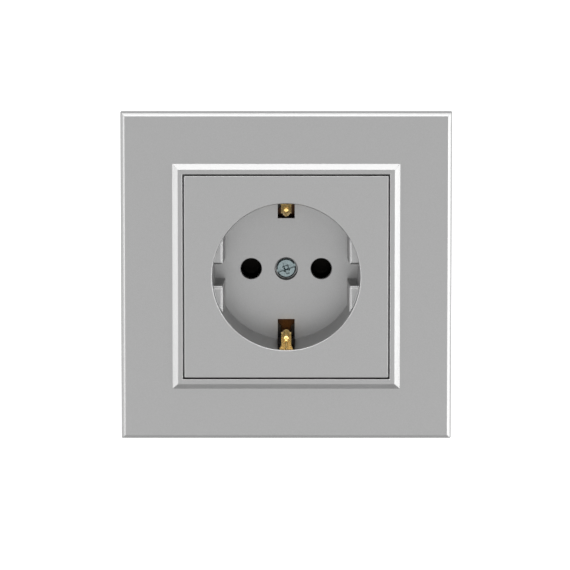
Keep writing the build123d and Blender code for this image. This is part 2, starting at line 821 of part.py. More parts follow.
def claw_screw(side):
    return pan_screw(
        side * claw_screw_x, 0, -support_thickness, claw_head_radius, claw_head_height,
        claw_shank_radius, claw_screw_length, 90,
    )


# Screws from the support plate into the pillars, and hollow rivets through strap and body
def plate_screw(x, z):
    return pan_screw(
        x, z, -support_thickness, plate_screw_head_radius, plate_screw_head_height,
        plate_screw_shank_radius, plate_screw_length, 30,
    )


def strap_rivet(z):
    rear_seat = base_back - rivet_sink
    with BuildPart() as rivet:
        with BuildSketch(wall_plane(strap_front)):
            with Locations((0, z)):
                Circle(rivet_head_radius)
        extrude(amount=rivet_head_height)
        with BuildSketch(wall_plane(strap_front)):
            with Locations((0, z)):
                Circle(rivet_radius)
        extrude(amount=-(rear_seat - strap_front))
        with BuildSketch(wall_plane(rear_seat)):
            with Locations((0, z)):
                Circle(rivet_head_radius)
        extrude(amount=-rivet_head_height)
        with BuildSketch(wall_plane(strap_front - rivet_head_height)):
            with Locations((0, z)):
                Circle(rivet_bore_radius)
        extrude(amount=-2 * base_depth, mode=Mode.SUBTRACT)
    return rivet


pieces = {
    "cover_frame": cover_frame,
    "centre_plate": centre_plate,
    "well_floor": well_floor,
    "centre_screw": centre_screw,
    "earth_strap": earth_strap,
    "base_body": base_body,
    "support_plate": support_plate,
    "strap_rivet_upper": strap_rivet(strap_rivet_z),
    "strap_rivet_lower": strap_rivet(-strap_rivet_z),
    "earth_terminal_clamp": terminal_clamp(terminal_x, terminal_z),
    "earth_terminal_screw": terminal_screw(terminal_x, terminal_z),
}
for side, wire, hand in ((-1, "line", "left"), (1, "neutral", "right")):
    pieces[f"{wire}_contact"] = pin_contact(side)
    pieces[f"{wire}_contact_spring"] = contact_spring(side)
    pieces[f"{wire}_terminal_clamp"] = terminal_clamp(side * terminal_x, -terminal_z)
    pieces[f"{wire}_terminal_screw"] = terminal_screw(side * terminal_x, -terminal_z)
    pieces[f"{hand}_claw"] = expanding_claw(side)
    pieces[f"{hand}_claw_screw"] = claw_screw(side)
    for level, height in (("upper", pillar_z), ("lower", -pillar_z)):
        pieces[f"plate_screw_{level}_{hand}"] = plate_screw(side * pillar_x, height)

for name, piece in pieces.items():
    piece.part.label = name
    export_step(piece.part, f"parts/{name}.step")
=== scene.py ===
"""Looks of a flush wall socket with side earth clips: finishes, rounded edges, screw threads and a studio."""
from math import copysign, cos, hypot, radians, sin, tau

import bmesh
import bpy
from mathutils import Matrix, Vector


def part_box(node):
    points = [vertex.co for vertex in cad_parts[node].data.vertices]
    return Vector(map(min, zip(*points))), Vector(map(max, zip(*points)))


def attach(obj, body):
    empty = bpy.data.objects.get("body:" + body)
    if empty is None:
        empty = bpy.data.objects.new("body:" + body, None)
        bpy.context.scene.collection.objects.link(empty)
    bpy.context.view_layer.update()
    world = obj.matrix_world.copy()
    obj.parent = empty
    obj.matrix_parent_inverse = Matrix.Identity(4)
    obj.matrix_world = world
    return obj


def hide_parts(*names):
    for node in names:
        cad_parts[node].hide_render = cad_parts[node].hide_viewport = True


bl_info = {
    "name": "Wall Socket Finishes",
    "version": (1, 0, 0),
    "blender": (4, 5, 0),
    "location": "View3D > Sidebar > Wall Socket",
    "description": "Builds the finishes, rounded edges and screw threads of a flush wall socket",
    "category": "Object",
}

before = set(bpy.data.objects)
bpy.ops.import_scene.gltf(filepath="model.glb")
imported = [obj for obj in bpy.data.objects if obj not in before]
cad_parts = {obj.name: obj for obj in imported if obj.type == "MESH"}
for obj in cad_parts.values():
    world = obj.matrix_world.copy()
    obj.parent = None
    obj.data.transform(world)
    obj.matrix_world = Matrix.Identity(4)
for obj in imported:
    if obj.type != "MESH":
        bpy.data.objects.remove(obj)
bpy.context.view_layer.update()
millimetre = 0.001

# Angles between faces, in degrees: below the first they lie in one plane, above the last they meet at an edge
coplanar, curved, sharp = 0.2, 0.5, 28

# Where the CAD has the rim of the well and the inner ends of the earth slots, measured from the axis
rim_reach = (19 * millimetre, 21 * millimetre)
slot_start = (14.2 * millimetre, 14.4 * millimetre)
# How far into the body the painted shade on the earth strap deepens, how near to a plane counts as on it, and how
# near points are one
painted_shade_depth = 9 * millimetre
on_plane = 0.01 * millimetre
same_place = 0.001 * millimetre
# The body's share of the rounding of a moulding, and a screw's share of the rounding of a pressing
body_share, screw_share = 0.5, 0.6


# Colours and sizes that a user would change
def colour_property(name, description, default):
    return bpy.props.FloatVectorProperty(
        name=name, description=description, default=default, size=3, subtype="COLOR", min=0, max=1
    )


def length_property(name, description, default):
    return bpy.props.FloatProperty(
        name=name, description=description, default=default, min=0, precision=5, unit="LENGTH"
    )


def factor_property(name, description, default):
    return bpy.props.FloatProperty(
        name=name, description=description, default=default, min=0, max=1, subtype="FACTOR"
    )


def power_property(name, description, default):
    return bpy.props.FloatProperty(name=name, description=description, default=default, min=0)


class SocketColours(bpy.types.PropertyGroup):
    """Colours of the finishes, in linear values."""
    silver: colour_property("Silver paint", "Satin metallic paint of the frame and the plate", (0.29, 0.29, 0.29))
    black: colour_property("Black moulding", "Moulded body behind the plate", (0.03, 0.024, 0.021))
    brass: colour_property("Brass", "Earth strap and rivets", (0.88, 0.615, 0.235))
    # Painted shade: the dark brown of the earth strap behind the floor of the well stands for the shade inside the
    # earth slots
    painted_strap_shade: colour_property("Painted shade", "Earth strap behind the well", (0.025, 0.011, 0.004))
    # Painted shade: the pin contacts are coloured near black for the shade deep in the pin holes
    contact: colour_property("Contacts", "Pin contacts", (0.006, 0.005, 0.004))
    screw: colour_property("Centre screw", "Plating of the screw in the well", (0.2, 0.245, 0.253))
    zinc: colour_property("Zinc plating", "Other screws and clamps", (0.40, 0.44, 0.44))
    sheet: colour_property("Plated sheet", "Support plate", (0.58, 0.60, 0.60))
    passivated: colour_property("Passivated steel", "Claws", (0.42, 0.37, 0.24))
    rose: colour_property("Rose tint", "Patches of the claws", (0.44, 0.36, 0.30))
    spring: colour_property("Spring steel", "Springs of the pin contacts", (0.20, 0.20, 0.22))
    floor: colour_property("Floor", "Pale floor", (0.7, 0.7, 0.7))


class SocketSizes(bpy.types.PropertyGroup):
    """Sizes of the added detail and the textures."""
    moulding_round: length_property("Moulding edge", "Rounding of the moulded edges", 0.0001)
    pressing_round: length_property("Pressing edge", "Rounding of the pressed steel edges", 0.00005)
    flake: length_property("Paint flake", "Size of one flake in the paint", 0.00009)
    mould_grain: length_property("Mould grain", "Size of the grain of the moulded skin", 0.0006)
    plating_grain: length_property("Plating grain", "Size of the crystals of the zinc", 0.0003)
    rim_share: factor_property("Rim share", "How much of the bevel round the well is kept", 0.8)
    slot_end: length_property("Slot end", "From the middle of the well to the end of an earth slot", 0.0138)
    tongue_width: length_property("Tongue width", "Width of the tongue behind an earth slot", 0.007)
    tongue_reach: length_property("Tongue reach", "How far the tongue stands out of the body", 0.0024)
    tongue_depth: length_property("Tongue depth", "Thickness of the tongue", 0.0018)
    bead_reach: length_property("Bead reach", "Half width of a clip's bead, which keeps its edges", 0.00125)
    thread_pitch: length_property("Thread pitch", "Pitch of the claw screws", 0.0005)
    thread_depth: length_property("Thread depth", "Depth of the claw screws' thread", 0.00028)
    paint_roughness: factor_property("Paint roughness", "Roughness of the satin paint", 0.4)


class StudioSettings(bpy.types.PropertyGroup):
    """Place of the camera and strength of the lights."""
    elevation: bpy.props.FloatProperty(
        name="Elevation", description="Camera height above the level", default=radians(9.0), subtype="ANGLE"
    )
    distance: length_property("Distance", "Camera to the plate", 1.6)
    lens: bpy.props.FloatProperty(name="Lens", description="Focal length in millimetres", default=376.3, min=1)
    top_light: power_property("Top light", "Power of the light above", 17)
    left_light: power_property("Left light", "Power of the left light", 6.2)
    right_light: power_property("Right light", "Power of the right light", 10.8)
    world: power_property("World", "Strength of the light from all sides", 0.45)
    floor_height: bpy.props.FloatProperty(
        name="Floor height", description="Height of the floor below the socket's centre", default=-0.32, unit="LENGTH"
    )
    shadow_radius: length_property("Shadow radius", "Reach of the plain floor round the socket", 0.45)
    white_radius: length_property("White radius", "Where the floor has turned white", 1.1)


def colours():
    return bpy.context.scene.socket_colours


def sizes():
    return bpy.context.scene.socket_sizes


# Shader node groups
def new_group(name, size, outputs):
    """An empty shader group with a size as its input and named outputs. Returns the group and its two end nodes."""
    tree = bpy.data.node_groups.new(name, "ShaderNodeTree")
    socket = tree.interface.new_socket(name="Size", in_out="INPUT", socket_type="NodeSocketFloat")
    socket.default_value = size
    for label in outputs:
        tree.interface.new_socket(name=label, in_out="OUTPUT", socket_type="NodeSocketFloat")
    return tree, tree.nodes.new("NodeGroupInput"), tree.nodes.new("NodeGroupOutput")


def scaled_coordinates(tree, size_socket, stretch=(1, 1, 1)):
    """Object coordinates divided by a size, so that one unit is one grain."""
    place = tree.nodes.new("ShaderNodeTexCoord")
    squeeze = tree.nodes.new("ShaderNodeVectorMath")
    squeeze.operation = "MULTIPLY"
    squeeze.inputs[1].default_value = stretch
    inverse = tree.nodes.new("ShaderNodeMath")
    inverse.operation = "DIVIDE"
    inverse.inputs[0].default_value = 1
    scale = tree.nodes.new("ShaderNodeVectorMath")
    scale.operation = "SCALE"
    tree.links.new(place.outputs["Object"], squeeze.inputs[0])
    tree.links.new(squeeze.outputs[0], scale.inputs[0])
    tree.links.new(size_socket, inverse.inputs[1])
    tree.links.new(inverse.outputs[0], scale.inputs["Scale"])
    return scale.outputs[0]


def ranged(tree, value, low, high):
    """A value from 0 to 1 spread from low to high."""
    spread = tree.nodes.new("ShaderNodeMapRange")
    spread.inputs["To Min"].default_value = low
    spread.inputs["To Max"].default_value = high
    tree.links.new(value, spread.inputs["Value"])
    return spread.outputs["Result"]


def noise_tone(tree, place, detail):
    """A tone from 0 to 1 that wanders over a place, one wave to the unit."""
    noise = tree.nodes.new("ShaderNodeTexNoise")
    noise.inputs["Scale"].default_value = 1
    noise.inputs["Detail"].default_value = detail
    tree.links.new(place, noise.inputs["Vector"])
    return noise.outputs["Fac"]


def cells_group():
    """Small cells, each with a tone of its own, as flakes in paint or crystals in zinc."""
    tree, start, end = new_group("Cells", 0.1 * millimetre, ["Tone", "Height"])
    cells = tree.nodes.new("ShaderNodeTexVoronoi")
    cells.inputs["Scale"].default_value = 1
    split = tree.nodes.new("ShaderNodeSeparateColor")
    tree.links.new(scaled_coordinates(tree, start.outputs["Size"]), cells.inputs["Vector"])
    tree.links.new(cells.outputs["Color"], split.inputs[0])
    tree.links.new(split.outputs[0], end.inputs["Tone"])
    tree.links.new(cells.outputs["Distance"], end.inputs["Height"])
    return tree


def grain_group():
    """Soft uneven grain, as a moulded skin has."""
    tree, start, end = new_group("Grain", 1 * millimetre, ["Tone"])
    tree.links.new(noise_tone(tree, scaled_coordinates(tree, start.outputs["Size"]), 3), end.inputs["Tone"])
    return tree


def rolling_group():
    """Fine lines that run across X, as rolled sheet has."""
    tree, start, end = new_group("Rolling", 0.2 * millimetre, ["Tone"])
    lines = scaled_coordinates(tree, start.outputs["Size"], (1, 0.03, 0.03))
    tree.links.new(noise_tone(tree, lines, 4), end.inputs["Tone"])
    return tree


group_makers = {"Cells": cells_group, "Grain": grain_group, "Rolling": rolling_group}
groups = {}


def placed_group(material, name, size):
    """A copy of a shared group in a material, with its own size."""
    if name not in groups:
        groups[name] = group_makers[name]()
    node = material.node_tree.nodes.new("ShaderNodeGroup")
    node.node_tree = groups[name]
    node.inputs["Size"].default_value = size
    return node


# Materials
def new_material(name, metallic):
    """A material with a share of metal in its shader. Returns both."""
    material = bpy.data.materials.new(name)
    material.use_nodes = True
    shader = material.node_tree.nodes["Principled BSDF"]
    shader.inputs["Metallic"].default_value = metallic
    return material, shader


def tone_colour(material, shader, colour, tone, spread):
    """Colour the surface with one colour that a tone makes lighter and darker by a share."""
    tree = material.node_tree
    mix = tree.nodes.new("ShaderNodeMix")
    mix.data_type = "RGBA"
    mix.inputs["A"].default_value = [channel * (1 - spread) for channel in colour] + [1]
    mix.inputs["B"].default_value = [min(1, channel * (1 + spread)) for channel in colour] + [1]
    tree.links.new(tone, mix.inputs["Factor"])
    tree.links.new(mix.outputs["Result"], shader.inputs["Base Color"])
    return mix


def bumped(material, shader, height, strength, distance):
    """Let a height tilt the light on the surface."""
    tree = material.node_tree
    bump = tree.nodes.new("ShaderNodeBump")
    bump.inputs["Strength"].default_value = strength
    bump.inputs["Distance"].default_value = distance
    tree.links.new(height, bump.inputs["Height"])
    tree.links.new(bump.outputs["Normal"], shader.inputs["Normal"])


def roughened(material, shader, tone, low, high):
    """Let a tone spread the roughness from low to high."""
    material.node_tree.links.new(ranged(material.node_tree, tone, low, high), shader.inputs["Roughness"])


def silver_paint():
    """Satin silver paint: fine flakes in a smooth coat over a faintly uneven moulding."""
    roughness = sizes().paint_roughness
    material, shader = new_material("silver paint", metallic=1)
    flakes = placed_group(material, "Cells", sizes().flake)
    skin = placed_group(material, "Grain", sizes().mould_grain)
    tone_colour(material, shader, colours().silver, flakes.outputs["Tone"], 0.05)
    roughened(material, shader, skin.outputs["Tone"], roughness - 0.03, roughness + 0.03)
    bumped(material, shader, skin.outputs["Tone"], 0.06, 0.00002)
    return material


def black_moulding():
    """Hard black moulding with a slightly cloudy skin."""
    material, shader = new_material("black moulding", metallic=0)
    skin = placed_group(material, "Grain", sizes().mould_grain)
    cloud = placed_group(material, "Grain", 6 * millimetre)
    tone_colour(material, shader, colours().black, cloud.outputs["Tone"], 0.35)
    roughened(material, shader, cloud.outputs["Tone"], 0.3, 0.5)
    bumped(material, shader, skin.outputs["Tone"], 0.3, 0.00003)
    return material


def rolled_brass(name, colour):
    """Rolled brass with faint lines and a few duller patches. Returns the material, its shader and its colour."""
    material, shader = new_material(name, metallic=0.9)
    lines = placed_group(material, "Rolling", 0.2 * millimetre)
    cloud = placed_group(material, "Grain", 3 * millimetre)
    mix = tone_colour(material, shader, colour, cloud.outputs["Tone"], 0.06)
    roughened(material, shader, lines.outputs["Tone"], 0.2, 0.26)
    return material, shader, mix


def sprung_brass():
    """Bright brass with painted shade: coloured dark brown where it stands behind the floor of the well, for the
    shade inside the earth slots.
    """
    material, shader, mix = rolled_brass("sprung brass", colours().brass)
    tree = material.node_tree
    place = tree.nodes.new("ShaderNodeTexCoord")
    split = tree.nodes.new("ShaderNodeSeparateXYZ")
    depth = tree.nodes.new("ShaderNodeMapRange")
    depth.inputs["From Min"].default_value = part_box("well_floor")[0].y
    depth.inputs["From Max"].default_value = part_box("base_body")[0].y + painted_shade_depth
    # Painted shade: the brass turns dark brown with depth behind the floor of the well
    painted_strap_shade = tree.nodes.new("ShaderNodeMix")
    painted_strap_shade.data_type = "RGBA"
    painted_strap_shade.inputs["B"].default_value = (*colours().painted_strap_shade, 1)
    tree.links.new(place.outputs["Object"], split.inputs[0])
    tree.links.new(split.outputs["Y"], depth.inputs["Value"])
    tree.links.new(depth.outputs["Result"], painted_strap_shade.inputs["Factor"])
    tree.links.new(mix.outputs["Result"], painted_strap_shade.inputs["A"])
    tree.links.new(painted_strap_shade.outputs["Result"], shader.inputs["Base Color"])
    return material


def eyelet_brass():
    """Bright brass of the hollow rivets."""
    return rolled_brass("eyelet brass", colours().brass)[0]


def painted_shade_contact_brass():
    """Brass of the pin contacts, painted near black as painted shade for the deep pin holes."""
    return rolled_brass("contact brass", colours().contact)[0]


def zinc_coat(name, colour):
    """Grainy blue-green zinc plating with sparkling crystals."""
    material, shader = new_material(name, metallic=1)
    crystals = placed_group(material, "Cells", sizes().plating_grain)
    tone_colour(material, shader, colour, crystals.outputs["Tone"], 0.16)
    roughened(material, shader, crystals.outputs["Tone"], 0.24, 0.42)
    bumped(material, shader, crystals.outputs["Height"], 0.15, 0.00002)
    return material


def zinc_plating():
    """Plating of the hidden screws and clamps."""
    return zinc_coat("zinc plating", colours().zinc)


def screw_plating():
    """Darker plating of the centre screw."""
    return zinc_coat("screw plating", colours().screw)


def plated_sheet():
    """Rolled and zinc plated sheet steel with soft spangles."""
    material, shader = new_material("plated sheet", metallic=0.95)
    spangles = placed_group(material, "Cells", 2.5 * millimetre)
    lines = placed_group(material, "Rolling", 0.25 * millimetre)
    tone_colour(material, shader, colours().sheet, spangles.outputs["Tone"], 0.07)
    roughened(material, shader, lines.outputs["Tone"], 0.26, 0.46)
    bumped(material, shader, lines.outputs["Tone"], 0.15, 0.00002)
    return material


def passivated_steel():
    """Yellow passivated steel whose tint wanders from straw to faint rose."""
    material, shader = new_material("passivated steel", metallic=0.95)
    cloud = placed_group(material, "Grain", 4 * millimetre)
    lines = placed_group(material, "Rolling", 0.2 * millimetre)
    mix = tone_colour(material, shader, colours().passivated, cloud.outputs["Tone"], 0.14)
    mix.inputs["B"].default_value = (*colours().rose, 1)
    roughened(material, shader, lines.outputs["Tone"], 0.26, 0.46)
    bumped(material, shader, lines.outputs["Tone"], 0.15, 0.00002)
    return material


def spring_steel():
    """Dark blued spring steel."""
    material, shader = new_material("spring steel", metallic=1)
    lines = placed_group(material, "Rolling", 0.15 * millimetre)
    tone_colour(material, shader, colours().spring, lines.outputs["Tone"], 0.25)
    roughened(material, shader, lines.outputs["Tone"], 0.22, 0.42)
    return material


makers = {
    "silver": silver_paint,
    "black": black_moulding,
    "brass": sprung_brass,
    "eyelet": eyelet_brass,
    "contact": painted_shade_contact_brass,
    "zinc": zinc_plating,
    "screw": screw_plating,
    "sheet": plated_sheet,
    "claw": passivated_steel,
    "spring": spring_steel,
}
finishes = {}


def finish_of(name):
    """The finished material of that name, made once."""
    if name not in finishes:
        finishes[name] = makers[name]()
    return finishes[name]


# Meshes
def add_piece(mesh, name, finish, node, body):
    """Put a finished mesh in the scene as a piece that stands for a node and moves with its body."""
    piece = bpy.data.objects.new(name, bpy.data.meshes.new(name))
    bpy.context.scene.collection.objects.link(piece)
    mesh.to_mesh(piece.data)
    mesh.free()
    piece.data.materials.append(finish_of(finish))
    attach(piece, body)
    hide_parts(node)


def welded(node):
    """A copy of a node's mesh with its faces joined and its flat stretches made whole."""
    mesh = bmesh.new()
    mesh.from_mesh(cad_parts[node].data)
    bmesh.ops.remove_doubles(mesh, verts=mesh.verts, dist=same_place)
    bmesh.ops.dissolve_limit(mesh, angle_limit=radians(coplanar), verts=mesh.verts, edges=mesh.edges)
    return mesh


def rounded(mesh, width, chosen=lambda edge: True):
    """Round the sharp edges of a mesh that pass the choice, and leave its plane faces flat in the light."""
    corners = [edge for edge in mesh.edges if edge.calc_face_angle(0) > radians(sharp)]
    for edge in corners:
        edge.smooth = False
    for face in mesh.faces:
        bends = any(radians(curved) < edge.calc_face_angle(0) <= radians(sharp) for edge in face.edges)
        face.smooth = bends and len(face.verts) <= 4
    made = bmesh.ops.bevel(
        mesh, geom=[edge for edge in corners if chosen(edge)], offset=width, offset_type="OFFSET",
        segments=3, profile=0.5, affect="EDGES", clamp_overlap=False, material=-1,
    )
    strips = set(made["faces"])
    for face in strips:
        face.smooth = True
        for edge in face.edges:
            edge.smooth = all(neighbour in strips for neighbour in edge.link_faces)
    return mesh


def across(vert):
    """Distance of a point from the axis of the well."""
    return hypot(vert.co.x, vert.co.z)


def off_plane(depth):
    """Choose the edges that don't lie in the plane at a depth."""
    return lambda edge: any(abs(vert.co.y - depth) > on_plane for vert in edge.verts)


def thread(centre, start, end, crest, depth, pitch, steps=24):
    """A helical thread along +Y between two depths, closed at both ends."""
    mesh = bmesh.new()
    root = crest - depth
    profile = [(root, 0), (root, 0.12), (crest, 0.45), (crest, 0.55), (root, 0.88), (root, 1)]
    points = [
        mesh.verts.new((centre[0] + radius, start + (share - 1) * pitch, centre[1])) for radius, share in profile
    ]
    edges = [mesh.edges.new(pair) for pair in zip(points, points[1:])]
    turns = int((end - start) / pitch) + 3
    bmesh.ops.spin(
        mesh, geom=points + edges, cent=(centre[0], 0, centre[1]), axis=(0, 1, 0),
        dvec=(0, pitch / steps, 0), angle=tau * turns, steps=steps * turns, use_merge=False,
    )
    bmesh.ops.remove_doubles(mesh, verts=mesh.verts, dist=pitch / 200)
    for depth_of_cut, normal in ((start, (0, -1, 0)), (end, (0, 1, 0))):
        bmesh.ops.bisect_plane(
            mesh, geom=mesh.verts[:] + mesh.edges[:] + mesh.faces[:], plane_co=(0, depth_of_cut, 0),
            plane_no=normal, clear_outer=True,
        )
        rim = [edge for edge in mesh.edges if edge.is_boundary and
               all(abs(vert.co.y - depth_of_cut) < same_place for vert in edge.verts)]
        bmesh.ops.contextual_create(mesh, geom=rim)
    bmesh.ops.recalc_face_normals(mesh, faces=mesh.faces)
    return mesh


def joined(*meshes):
    """One mesh with the shells of several."""
    whole = meshes[0]
    for other in meshes[1:]:
        carrier = bpy.data.meshes.new("carrier")
        other.to_mesh(carrier)
        other.free()
        whole.from_mesh(carrier)
        bpy.data.meshes.remove(carrier)
    return whole


def cut_behind(mesh, depth):
    """Keep only what lies in front of a depth, and close the cut."""
    bmesh.ops.bisect_plane(
        mesh, geom=mesh.verts[:] + mesh.edges[:] + mesh.faces[:], plane_co=(0, depth, 0),
        plane_no=(0, 1, 0), clear_outer=True,
    )
    rim = [edge for edge in mesh.edges if edge.is_boundary]
    bmesh.ops.contextual_create(mesh, geom=rim)
    return mesh


def painted(node, finish):
    """Give a node that keeps its own shape its finish."""
    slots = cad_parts[node].data.materials
    slots.clear()
    slots.append(finish_of(finish))


# Pieces
class SOCKET_OT_cover_frame(bpy.types.Operator):
    """Round the edges of the cover frame and paint it"""
    bl_idname = "socket.cover_frame"
    bl_label = "Cover frame"

    def execute(self, context):
        mesh = rounded(welded("cover_frame"), sizes().moulding_round)
        add_piece(mesh, "frame_moulding", "silver", "cover_frame", "socket")
        return {"FINISHED"}


class SOCKET_OT_centre_plate(bpy.types.Operator):
    """Round the edges of the centre plate and of the well's floor, except where the two meet, and paint them"""
    bl_idname = "socket.centre_plate"
    bl_label = "Centre plate and well"

    def execute(self, context):
        joint = off_plane(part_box("well_floor")[0].y)
        for node, name, shaped in (
            ("centre_plate", "plate_moulding", self.sharper_rim), ("well_floor", "floor_moulding", self.longer_slots)
        ):
            mesh = rounded(shaped(welded(node)), sizes().moulding_round, joint)
            add_piece(mesh, name, "silver", node, "socket")
        return {"FINISHED"}

    @staticmethod
    def sharper_rim(mesh):
        """Draw the bevel round the mouth of the well together towards its corner."""
        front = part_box("centre_plate")[0].y
        deepest = 0.5 * millimetre
        near, far = rim_reach
        outer = [vert for vert in mesh.verts if abs(vert.co.y - front) < on_plane and near < across(vert) < far]
        inner = [vert for vert in mesh.verts if on_plane < vert.co.y - front < deepest and across(vert) < far]
        corner = max(across(vert) for vert in inner)
        for vert in outer:
            radius = corner + (across(vert) - corner) * sizes().rim_share
            vert.co.x, vert.co.z = vert.co.x * radius / across(vert), vert.co.z * radius / across(vert)
        for vert in inner:
            vert.co.y = front + (vert.co.y - front) * sizes().rim_share
        return mesh

    @staticmethod
    def longer_slots(mesh):
        """Set the ends of the earth slots in the floor."""
        half_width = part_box("earth_strap")[1].x / 4
        near, far = slot_start
        for vert in mesh.verts:
            if abs(vert.co.x) < half_width and near < abs(vert.co.z) < far:
                vert.co.z = copysign(sizes().slot_end, vert.co.z)
        return mesh


class SOCKET_OT_earth_strap(bpy.types.Operator):
    """Round the edges of the earth strap and give it its brass"""
    bl_idname = "socket.earth_strap"
    bl_label = "Earth strap"

    def execute(self, context):
        mesh = rounded(welded("earth_strap"), sizes().pressing_round, self.off_bead)
        add_piece(mesh, "strap_pressing", "brass", "earth_strap", "socket")
        return {"FINISHED"}

    @staticmethod
    def off_bead(edge):
        """The pressed bead and groove along the middle of a clip keep their own edges."""
        return all(abs(vert.co.x) > sizes().bead_reach for vert in edge.verts)


class SOCKET_OT_base_body(bpy.types.Operator):
    """Round the edges of the body behind the plate, close the earth slots with its tongues and give it its skin"""
    bl_idname = "socket.base_body"
    bl_label = "Base body"

    def execute(self, context):
        mesh = welded("base_body")
        self.add_tongues(mesh)
        mesh = rounded(mesh, body_share * sizes().moulding_round)
        add_piece(mesh, "body_moulding", "black", "base_body", "socket")
        return {"FINISHED"}

    def add_tongues(self, mesh):
        """At the top and bottom of the body, a flat tongue behind each earth slot and a lip outside the well."""
        low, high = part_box("base_body")
        strap_low, strap_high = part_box("earth_strap")
        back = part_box("well_floor")[1].y
        sink = 0.3 * millimetre
        hook_depth, lip_share, lip_thickness, clearance = 1.4 * millimetre, 0.9, 0.5 * millimetre, 0.05 * millimetre
        tongue = (sizes().tongue_width, sizes().tongue_depth, sizes().tongue_reach + sink)
        lip_front = strap_low.y + hook_depth
        lip = (lip_share * sizes().tongue_width, back + sink - lip_front, lip_thickness)
        inside = strap_high.z + clearance
        for side, edge in ((-1, low.z), (1, high.z)):
            self.add_block(mesh, tongue, (0, back + tongue[1] / 2, edge + side * (tongue[2] / 2 - sink)))
            self.add_block(mesh, lip, (0, lip_front + lip[1] / 2, side * (inside + lip[2] / 2)))

    @staticmethod
    def add_block(mesh, size, place):
        """Add a box with its middle at a place to a mesh."""
        block = bmesh.ops.create_cube(mesh, size=1)["verts"]
        bmesh.ops.scale(mesh, verts=block, vec=size)
        bmesh.ops.translate(mesh, verts=block, vec=place)


class SOCKET_OT_sheet_parts(bpy.types.Operator):
    """Round the edges of the support plate and the claws"""
    bl_idname = "socket.sheet_parts"
    bl_label = "Support plate and claws"

    def execute(self, context):
        mesh = rounded(welded("support_plate"), sizes().pressing_round)
        add_piece(mesh, "support_pressing", "sheet", "support_plate", "socket")
        for hand in ("left", "right"):
            mesh = rounded(welded(f"{hand}_claw"), sizes().pressing_round)
            add_piece(mesh, f"{hand}_claw_pressing", "claw", f"{hand}_claw", f"{hand}_claw")
        return {"FINISHED"}


class SOCKET_OT_screws(bpy.types.Operator):
    """Cut the threads of the screws and plate them"""
    bl_idname = "socket.screws"
    bl_label = "Screws"

    def execute(self, context):
        for node in ("left_claw_screw", "right_claw_screw"):
            self.threaded_screw(node, sizes().thread_pitch, sizes().thread_depth)
        mesh = rounded(welded("centre_screw"), screw_share * sizes().pressing_round)
        add_piece(mesh, "plate_fixing_screw", "screw", "centre_screw", "socket")
        for hand in ("left", "right"):
            for level in ("upper", "lower"):
                painted(f"plate_screw_{level}_{hand}", "zinc")
        return {"FINISHED"}

    def threaded_screw(self, node, pitch, depth):
        """A claw screw whose shank behind the support plate is a thread."""
        low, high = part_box(node)
        centre = ((low.x + high.x) / 2, (low.z + high.z) / 2)
        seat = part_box("support_plate")[0].y
        whole = welded(node)
        crest = max(vert.co.x - centre[0] for vert in whole.verts if vert.co.y > seat + pitch)
        head = rounded(cut_behind(whole, seat), screw_share * sizes().pressing_round)
        shank = thread(centre, seat - 0.4 * pitch, high.y, crest, depth, pitch)
        add_piece(joined(head, shank), f"{node}_threaded", "zinc", node, "socket")


class SOCKET_OT_contacts(bpy.types.Operator):
    """Finish the contacts, the terminals and the rivets"""
    bl_idname = "socket.contacts"
    bl_label = "Contacts and terminals"

    def execute(self, context):
        for wire in ("line", "neutral"):
            painted(f"{wire}_contact", "contact")
            painted(f"{wire}_contact_spring", "spring")
        for wire in ("line", "neutral", "earth"):
            painted(f"{wire}_terminal_clamp", "zinc")
            painted(f"{wire}_terminal_screw", "zinc")
        for level in ("upper", "lower"):
            painted(f"strap_rivet_{level}", "eyelet")
        return {"FINISHED"}


# Studio
def area_light(name, power, width, height, place, target):
    """A rectangular light at a place that faces a target."""
    lamp = bpy.data.lights.new(name, "AREA")
    lamp.shape = "RECTANGLE"
    lamp.energy = power
    lamp.size = width
    lamp.size_y = height
    holder = bpy.data.objects.new(name, lamp)
    holder.location = place
    holder.rotation_euler = (Vector(target) - Vector(place)).to_track_quat("-Z", "Y").to_euler()
    bpy.context.scene.collection.objects.link(holder)


def white_for_camera(tree, light_path):
    """1 where a ray shows the background itself, straight, in gloss or through glass."""
    total = light_path.outputs["Is Camera Ray"]
    for label in ("Is Glossy Ray", "Is Transmission Ray"):
        adder = tree.nodes.new("ShaderNodeMath")
        adder.operation = "ADD"
        adder.use_clamp = True
        tree.links.new(total, adder.inputs[0])
        tree.links.new(light_path.outputs[label], adder.inputs[1])
        total = adder.outputs[0]
    return total


